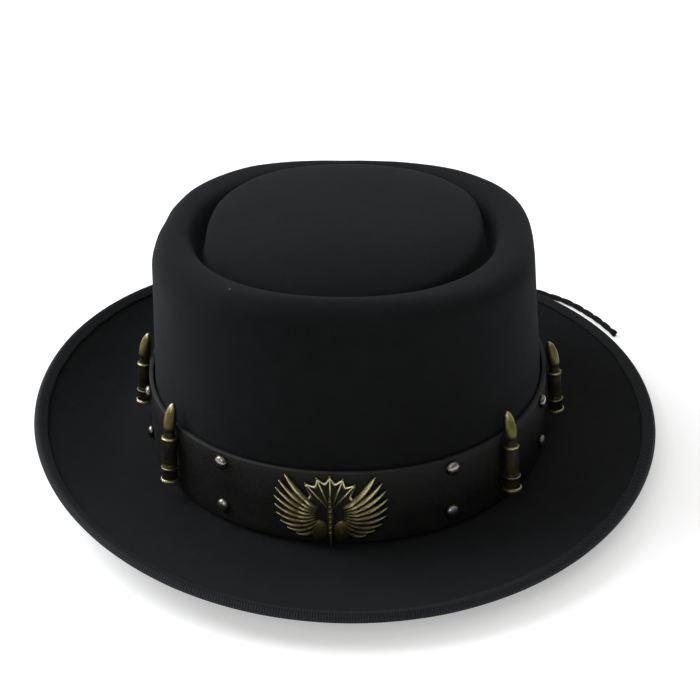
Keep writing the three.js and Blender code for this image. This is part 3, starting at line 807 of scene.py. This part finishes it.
rivetSize = {
    "radius": 3.05 * mm, "height": 2.1 * mm, "lip": 0.35 * mm, "insetTop": 4 * mm, "insetBottom": 6.4 * mm,
    "domeFoot": 0.93, "domeRound": 0.9, "domeTurns": (8, 20, 32, 44, 56, 68, 80), "sides": 28,
    "leastWearAndHighlight": 0.1, "wearAndHighlightGain": 0.8, "wearAndHighlightReach": 1.15,
}
# share of the radius, share of the lip
rivetLip = [(0, 0), (0.97, 0), (1, 0.3), (1, 0.75), (0.95, 1)]
studSize = {
    "height": 34.6 * mm, "case": 3 * mm, "rim": 3.9 * mm, "sides": 32,
    "lift": 5.4 * mm, "lean": 2, "noseBend": 1.7 * mm, "noseFoot": 0.66, "noseCurve": 1.6,
    "leastWearAndHighlight": 0.08, "wearAndHighlightGain": 3.2, "noseWear": 0.4, "tipWear": 0.2, "tipFrom": 0.8, "noseFade": 0.03,
}
# share of the rim's radius, height in millimetres
studRim = [(0, 0), (0.93, 0), (1, 0.25), (1, 1), (0.94, 1.25)]
# share of the height, share of the case's radius
studProfile = [
    (0.04, 1.24), (0.047, 1.07), (0.055, 1.05), (0.1, 1.05), (0.165, 1.05), (0.17, 1.17), (0.176, 1.2),
    (0.184, 1.2), (0.19, 1.17), (0.196, 1), (0.206, 0.93), (0.216, 1), (0.3, 1), (0.42, 1), (0.52, 1),
    (0.548, 1), (0.554, 1.08), (0.562, 1.1), (0.572, 1.08), (0.58, 0.98), (0.588, 0.74), (0.61, 0.71),
    (0.64, 0.705), (0.668, 0.71), (0.678, 0.78), (0.69, 0.85), (0.72, 0.885), (0.77, 0.88), (0.82, 0.85),
    (0.865, 0.79), (0.905, 0.7), (0.94, 0.58), (0.966, 0.44), (0.984, 0.29), (0.995, 0.14),
]
# what stands on the strap, and degrees from its front
strapRows = [
    ("rivets", 30.3), ("stud", 48), ("rivets", 69.9), ("stud", 85.8), ("rivets", 106.8), ("stud", 125),
    ("rivets", 144),
]


def makeRivet(name, node, seat, axis):
    radius, height, lip = rivetSize["radius"], rivetSize["height"], rivetSize["lip"]
    profile = [(radius * wide, lip * up) for wide, up in rivetLip]
    profile += [(radius * rivetSize["domeFoot"] * math.cos(t),
                 lip + (height - lip) * math.sin(t) ** rivetSize["domeRound"])
                for t in map(math.radians, rivetSize["domeTurns"])]
    profile.append((0, height))
    mesh = bmesh.new()
    spun(mesh, profile, rivetSize["sides"], aim(seat, axis))
    piece = finish(mesh, name, "rivet_metal", node, rivetMaterial)
    # the dome is painted bright towards its top and dark towards its foot: a painted highlight and painted
    # shade
    rise = [(vert.co - seat).dot(axis) / height for vert in piece.data.vertices]
    setWearAndHighlight(piece, [rivetSize["leastWearAndHighlight"] + rivetSize["wearAndHighlightGain"] * smoothStep(up * rivetSize["wearAndHighlightReach"])
                    for up in rise])


def makeStud(name, node, seat, axis, out):
    rim, case, height = studSize["rim"], studSize["case"], studSize["height"]
    foot, tip = studSize["noseFoot"], studSize["tipFrom"]
    profile = [(rim * wide, up * mm) for wide, up in studRim]
    profile += [(case * wide, height * up) for up, wide in studProfile] + [(0, height)]
    mesh = bmesh.new()
    spun(mesh, profile, studSize["sides"], aim(seat, axis))
    for vert in mesh.verts:
        up = (vert.co - seat).dot(axis) / height
        vert.co -= out * studSize["noseBend"] * max(0.0, (up - foot) / (1 - foot)) ** studSize["noseCurve"]
    piece = finish(mesh, name, "antique_brass", node, brassMaterial)
    wearAndHighlight = []
    for vert, share in zip(piece.data.vertices, standingOut(piece)):
        # the case is rubbed on its edges and the nose all over, most at its tip; the bright edges are also a
        # painted highlight
        up = (vert.co - seat).dot(axis) / height
        edges = min(1.0, max(0.0, studSize["leastWearAndHighlight"] + studSize["wearAndHighlightGain"] * share))
        nose = studSize["noseWear"] + studSize["tipWear"] * smoothStep((up - tip) / (1 - tip))
        wearAndHighlight.append(mix(edges, nose, smoothStep((up - foot) / studSize["noseFade"])))
    setWearAndHighlight(piece, wearAndHighlight)


def makeStrapMetal():
    rivetLevels = {"top": strapSize["width"] - rivetSize["insetTop"], "bottom": rivetSize["insetBottom"]}
    # a stud stands so far out that neither its rim nor its leaning case touches the strap
    lean = math.tan(math.radians(studSize["lean"]))
    reach = max(studSize["rim"], studSize["case"] + (strapSize["width"] - studSize["lift"]) * lean)
    for side, hand in (("right", 1), ("left", -1)):
        counts = {"rivets": 0, "stud": 0}
        for kind, degrees in strapRows:
            counts[kind] += 1
            angle = hand * math.radians(degrees)
            label = f"{side}_{counts[kind]}"
            if kind == "stud":
                point, rise, out = strapFace(angle, studSize["lift"])
                seat, axis = point + out * (strapSize["clearance"] + reach), (rise - out * lean).normalized()
                makeStud("castStud_" + label, "cartridge_stud_" + label, seat, axis, out)
                continue
            for level, up in rivetLevels.items():
                point, _, out = strapFace(angle, up)
                seat = point + out * strapSize["clearance"]
                makeRivet(f"rivetDome_{label}_{level}", f"rivet_{label}_{level}", seat, out)
    print("rivets and studs made")


makeStrapMetal()

badgeSize = {
    "width": 43.5 * mm, "height": 30 * mm, "footGap": 1.5 * mm, "aside": -1.6 * mm,
    "plate": 1 * mm, "relief": 1.3 * mm, "bead": 0.35 * mm, "columns": 144,
}
badgeMiddle = crownSize["wall"] + badgeSize["footGap"] + badgeSize["height"] / 2 - strapFoot
badgeHalf, badgeRelief = badgeSize["width"] / 2, badgeSize["relief"]
# across and up of the tip, half width, ridge, as shares
feathers = [
    (0.78, 0.95, 0.07, 1.0), (0.89, 0.76, 0.066, 0.9), (0.95, 0.53, 0.062, 0.8),
    (0.98, 0.29, 0.06, 0.75), (0.98, 0.05, 0.058, 0.7), (0.96, -0.18, 0.056, 0.65),
    (0.89, -0.4, 0.054, 0.6), (0.77, -0.57, 0.052, 0.55), (0.61, -0.7, 0.05, 0.5),
]
wingShape = {
    "root": 0.24, "sag": 0.16, "bow": 0.34, "shine": 0.4, "shinePower": 6,
    "covertFrom": 0.02, "covertTo": 0.46, "covertSag": 0.14, "covertBow": 0.08, "covertWidth": 0.8,
    "covertRidge": 0.35, "covertBase": 0.8 * mm, "covertShine": 0.12, "covertLevels": 7,
}
# the fan's rays in degrees, then across and up of its points, of its dips and of the plain plate
fanTurns = [50, 70, 90, 110, 130]
fanTip, fanDip, plateEdge = (0.68, 0.98), (0.55, 0.8), (0.46, 0.66)
fanShape = {
    "arc": 1.6, "fade": 12, "beadPast": 4, "ray": 0.035, "rayRidge": 0.4, "knobAt": 0.98, "knob": 0.55 * mm,
}
bladeShape = {
    "sides": 8, "levels": 11, "base": 0.25 * mm, "valley": 0.05, "foot": 0.55, "least": 0.1, "end": 0.3,
    "taperFrom": 0.55, "taperOver": 0.5, "taperPower": 0.6, "leastRidge": 0.55, "ridgePower": 1.1,
    "under": 0.4, "crestPower": 6, "rootShine": 0.25, "tipShine": 0.95, "shineReach": 1.2,
}
keelShape = {
    "top": 0.43, "foot": -1, "width": 0.07, "ridge": 1.1, "levels": 15, "beads": 7, "beadTop": 0.3,
    "beadStep": 0.15, "bead": (0.75 * mm, 0.6 * mm), "beadRise": 0.5 * mm, "beadSeat": 0.85,
}
domeShape = {
    "sides": 16, "turns": (0, 12, 26, 40, 54, 68, 80), "sunk": 0.3 * mm, "leastShine": 0.1, "mostShine": 0.5,
    "aside": 0.2, "up": -0.55, "size": (0.16, 0.3),
}


def badgePoint(across, up, above):
    height = badgeMiddle + up
    angle = math.asin((badgeSize["aside"] + across) / strapHalfWidth(height))
    point, _, out = strapFace(angle, height)
    return point + out * (strapSize["clearance"] + above)


def badgePlace(across, up):
    return Vector((across * badgeHalf, up * badgeSize["height"] / 2))


def addBlade(mesh, start, bend, end, halfWidth, ridge, valley=bladeShape["valley"], base=bladeShape["base"],
             levels=bladeShape["levels"]):
    # a feather or ray: a tapered ridge along a bent line in the badge's plane
    shape = bladeShape

    def place(level, angle):
        t = level / (levels - 1)
        middle = start * (1 - t) ** 2 + bend * 2 * t * (1 - t) + end * t * t
        along = ((bend - start) * (1 - t) + (end - bend) * t).normalized()
        side = Vector((-along.y, along.x))
        slimmer = (1 - smoothStep((t - shape["taperFrom"]) / shape["taperOver"])) ** shape["taperPower"]
        wide = halfWidth * (min(1, shape["foot"] + t) * slimmer + (shape["least"] if t < 1 else 0))
        if level in (0, levels - 1):
            wide *= shape["end"]
        flat = middle + side * wide * math.sin(angle)
        # the lower half of each ring is flat, and a right angle counts as upper
        if math.cos(angle) < -0.01:
            return badgePoint(flat.x, flat.y, base * shape["under"])
        crest = badgeSize["plate"] + ridge * mix(shape["leastRidge"], 1, wide / halfWidth)
        lift = max(0.0, math.cos(angle)) ** shape["ridgePower"]
        return badgePoint(flat.x, flat.y, mix(base, crest, lift))

    shine = mesh.verts.layers.float["wearAndHighlight"]
    turnOf, levelOf = tube(mesh, shape["sides"], levels, place)
    for vert, turn in turnOf.items():
        crest = max(0.0, math.cos(fullTurn * turn / shape["sides"])) ** shape["crestPower"]
        outward = smoothStep(levelOf[vert] / (levels - 1) * shape["shineReach"])
        vert[shine] = mix(valley, mix(shape["rootShine"], shape["tipShine"], outward), crest)


def addDome(mesh, middle, size, rise, base=badgeSize["plate"]):
    turns = domeShape["turns"]

    def place(level, angle):
        t = math.radians(turns[level - 1]) if level else 0
        above = base + rise * math.sin(t) if level else base - domeShape["sunk"]
        return badgePoint(middle.x + size.x * math.cos(t) * math.sin(angle),
                          middle.y + size.y * math.cos(t) * math.cos(angle), above)

    shine = mesh.verts.layers.float["wearAndHighlight"]
    levelOf = tube(mesh, domeShape["sides"], len(turns) + 1, place)[1]
    for vert, level in levelOf.items():
        vert[shine] = mix(domeShape["leastShine"], domeShape["mostShine"], level / len(turns))


def plateRim(turn):
    # the fan's rim hangs in small arcs between its points, and fades into the plate's plain edge
    first, last, step = fanTurns[0], fanTurns[-1], fanTurns[1] - fanTurns[0]
    if first <= turn <= last:
        within = (turn - first) % step / step
        share, inner = abs(2 * within - 1) ** fanShape["arc"], fanDip
    else:
        away = min(abs(turn - first), abs(turn - last), abs(turn - 360 - first))
        share, inner = 1 - smoothStep(away / fanShape["fade"]), plateEdge
    return mix(inner[0], fanTip[0], share), mix(inner[1], fanTip[1], share)


def addPlate(mesh):
    plate, bead = badgeSize["plate"], badgeSize["plate"] + badgeSize["bead"]
    # share of the way out, height; the bead runs only along the fan
    rows = [(0.02, plate), (0.3, plate), (0.6, plate), (0.86, plate), (0.93, bead), (0.985, bead),
            (1.0, plate * 0.7), (1.0, 0.05 * mm), (0.9, 0.0), (0.02, 0.0)]

    def place(level, angle):
        share, above = rows[level]
        turn = (math.degrees(angle) - 90) % 360
        across, up = plateRim(turn)
        spot = badgePlace(across * math.cos(math.radians(turn)), up * math.sin(math.radians(turn))) * share
        onFan = fanTurns[0] - fanShape["beadPast"] <= turn <= fanTurns[-1] + fanShape["beadPast"]
        return badgePoint(spot.x, spot.y, above if onFan else min(above, plate))

    shine = mesh.verts.layers.float["wearAndHighlight"]
    levelOf = tube(mesh, badgeSize["columns"], len(rows), place)[1]
    for vert, level in levelOf.items():
        vert[shine] = 0.95 if rows[level][1] > plate else 0.04


def addWings(mesh):
    shape = wingShape
    for hand in (1, -1):
        for across, up, wide, ridge in feathers:
            tip = badgePlace(hand * across, up)
            root = badgePlace(hand * across * shape["root"], up * shape["root"] - shape["sag"])
            bend = (tip + root) / 2 + badgePlace(0, -shape["bow"])
            shine = shape["shine"] * ridge ** shape["shinePower"]
            addBlade(mesh, root, bend, tip, badgeHalf * wide, badgeRelief * ridge, valley=shine)
            # a short covert lies on the root of every feather
            inner = root.lerp(tip, shape["covertFrom"])
            outer = root.lerp(tip, shape["covertTo"]) + badgePlace(0, -shape["covertSag"])
            bend = (inner + outer) / 2 + badgePlace(0, -shape["covertBow"])
            addBlade(mesh, inner, bend, outer, badgeHalf * wide * shape["covertWidth"],
                     badgeRelief * (ridge + shape["covertRidge"]), valley=shape["covertShine"],
                     base=shape["covertBase"], levels=shape["covertLevels"])


def addFan(mesh):
    shape, knob = fanShape, fanShape["knob"]
    for t in map(math.radians, fanTurns):
        tip = badgePlace(fanTip[0] * math.cos(t), fanTip[1] * math.sin(t))
        ridge = badgeRelief * shape["rayRidge"]
        addBlade(mesh, Vector((0, 0)), tip / 2, tip, badgeHalf * shape["ray"], ridge)
        addDome(mesh, tip * shape["knobAt"], Vector((knob, knob)), knob)


def addKeel(mesh):
    shape = keelShape
    for hand in (1, -1):
        middle = badgePlace(hand * domeShape["aside"], domeShape["up"])
        addDome(mesh, middle, badgePlace(*domeShape["size"]), badgeRelief)
    addBlade(mesh, badgePlace(0, shape["top"]), Vector((0, 0)), badgePlace(0, shape["foot"]),
             badgeHalf * shape["width"], badgeRelief * shape["ridge"], levels=shape["levels"])
    for step in range(shape["beads"]):
        addDome(mesh, badgePlace(0, shape["beadTop"] - step * shape["beadStep"]), Vector(shape["bead"]),
                shape["beadRise"], base=badgeSize["plate"] + badgeRelief * shape["beadSeat"])


def makeBadge():
    mesh = bmesh.new()
    mesh.verts.layers.float.new("wearAndHighlight")
    addPlate(mesh)
    addWings(mesh)
    addFan(mesh)
    addKeel(mesh)
    finish(mesh, "wingBadge", "antique_brass", "wing_badge", brassMaterial)
    print("badge made")


makeBadge()


# The lace that ties the strap's ends

knotSize = {
    "width": 10 * mm, "depth": 6.4 * mm, "holeInset": 6 * mm, "holeEdge": 7.9 * mm, "bend": 1.8 * mm,
    "strand": 0.98, "lift": 0.95, "leave": 0.6 * mm, "towards": 0.45, "tailPart": 0.06, "loopSteps": 72,
}


def makeBandLace():
    mesh = bmesh.new()
    point, _, out = strapFace(math.pi, strapSize["width"] / 2)
    middle = point + out * (strapSize["clearance"] + knotSize["depth"] / 2)
    side = strapSize["endGap"] / 2 + knotSize["holeInset"]
    thick = laceLook["diameter"]
    strand = thick * knotSize["strand"]
    lift = strapSize["clearance"] + knotSize["bend"]
    # four strands run from the holes into the knot
    for hand in (-1, 1):
        for up in (knotSize["holeEdge"], strapSize["width"] - knotSize["holeEdge"]):
            hole, _, outward = strapFace(hand * backAngle(side), up)
            above = hole + outward * lift * knotSize["lift"]
            stops = [hole - outward * strapSize["wall"], hole + outward * knotSize["leave"], above,
                     above.lerp(middle, knotSize["towards"]), middle]
            twistedLace(mesh, curveThrough(stops), strand)
    # the knot itself is a closed trefoil
    wide, deep = knotSize["width"] / 2 - thick / 2, knotSize["depth"] / 2 - thick / 2
    loop = []
    for step in range(knotSize["loopSteps"] + 1):
        t = fullTurn * step / knotSize["loopSteps"]
        loop.append(middle + Vector((wide * (math.sin(t) + 2 * math.sin(2 * t)) / 3,
                                     -deep * math.sin(3 * t),
                                     wide * (math.cos(t) - 2 * math.cos(2 * t)) / 3)))
    twistedLace(mesh, loop, thick)
    # and one more strand leads out of it to the free end
    tailStart, tailNext = (Vector(point) * mm for point in tailRoute[:2])
    stops = [middle, tailStart, tailStart.lerp(tailNext, knotSize["tailPart"])]
    twistedLace(mesh, curveThrough(stops), strand)
    finish(mesh, "bandLace", "lace", "band_lace", laceMaterial)
    print("lace knot made")


makeBandLace()


# The floor and the light

studioLook = {
    "floor": (0.85, 0.85, 0.85), "floorGlow": 0.39, "floorSize": 6, "floorDrop": 0.2 * mm,
    "front": 0.12, "sides": 0.66, "above": 0.25, "right": 0.26, "lightsLookAt": (0, 0, 0.04),
    # name, place, size in metres, watts, colour
    "lights": [
        ("windowLight", (-1.1, 0.25, 1.05), 1.0, 17.5, (0.93, 0.97, 1.0)),
        ("fillLight", (0.6, -0.3, 1.6), 1.0, 0.8, (1.0, 0.98, 0.95)),
        ("frontLight", (-0.5, -1.5, 1.3), 0.8, 6.0, (1.0, 0.97, 0.9)),
    ],
}


def paintSky(tree):
    # a light tent: bright above and at the sides, dim where the viewer stands
    way = tree.at("Generated")
    toRight, toBack, upward = (way.part(axis) for axis in "XYZ")
    return (toBack.between(-0.95, 0.1, studioLook["front"], studioLook["sides"])
            * toRight.between(-0.2, 0.9, 1.0, studioLook["right"])
            + upward.between(0.2, 1.0, 0.0, studioLook["above"]))


def paintFloor(tree):
    return {
        "Base Color": (*studioLook["floor"], 1), "Roughness": 0.8, "Specular IOR Level": 0.2,
        "Emission Color": (1, 1, 1, 1), "Emission Strength": studioLook["floorGlow"],
    }


def makeStudio():
    world = bpy.data.worlds.new("studio")
    world.use_nodes = True
    background = world.node_tree.nodes["Background"]
    background.inputs["Color"].default_value = (1, 1, 1, 1)
    world.node_tree.links.new(paintSky(Wire(world.node_tree)).socket, background.inputs["Strength"])
    scene.world = world
    mesh = bmesh.new()
    bmesh.ops.create_grid(mesh, x_segments=1, y_segments=1, size=studioLook["floorSize"])
    floor = makeObject(mesh, "floor", makeMaterial("paleFloor", paintFloor))
    floor.location.z = -studioLook["floorDrop"]
    for name, place, size, power, colour in studioLook["lights"]:
        light = bpy.data.lights.new(name, "AREA")
        light.shape = "DISK"
        light.size = size
        light.energy = power
        light.color = colour
        lamp = bpy.data.objects.new(name, light)
        lamp.matrix_world = aim(Vector(place), Vector(place) - Vector(studioLook["lightsLookAt"]))
        scene.collection.objects.link(lamp)
    scene.view_settings.view_transform = "Standard"


makeStudio()
print("studio set")
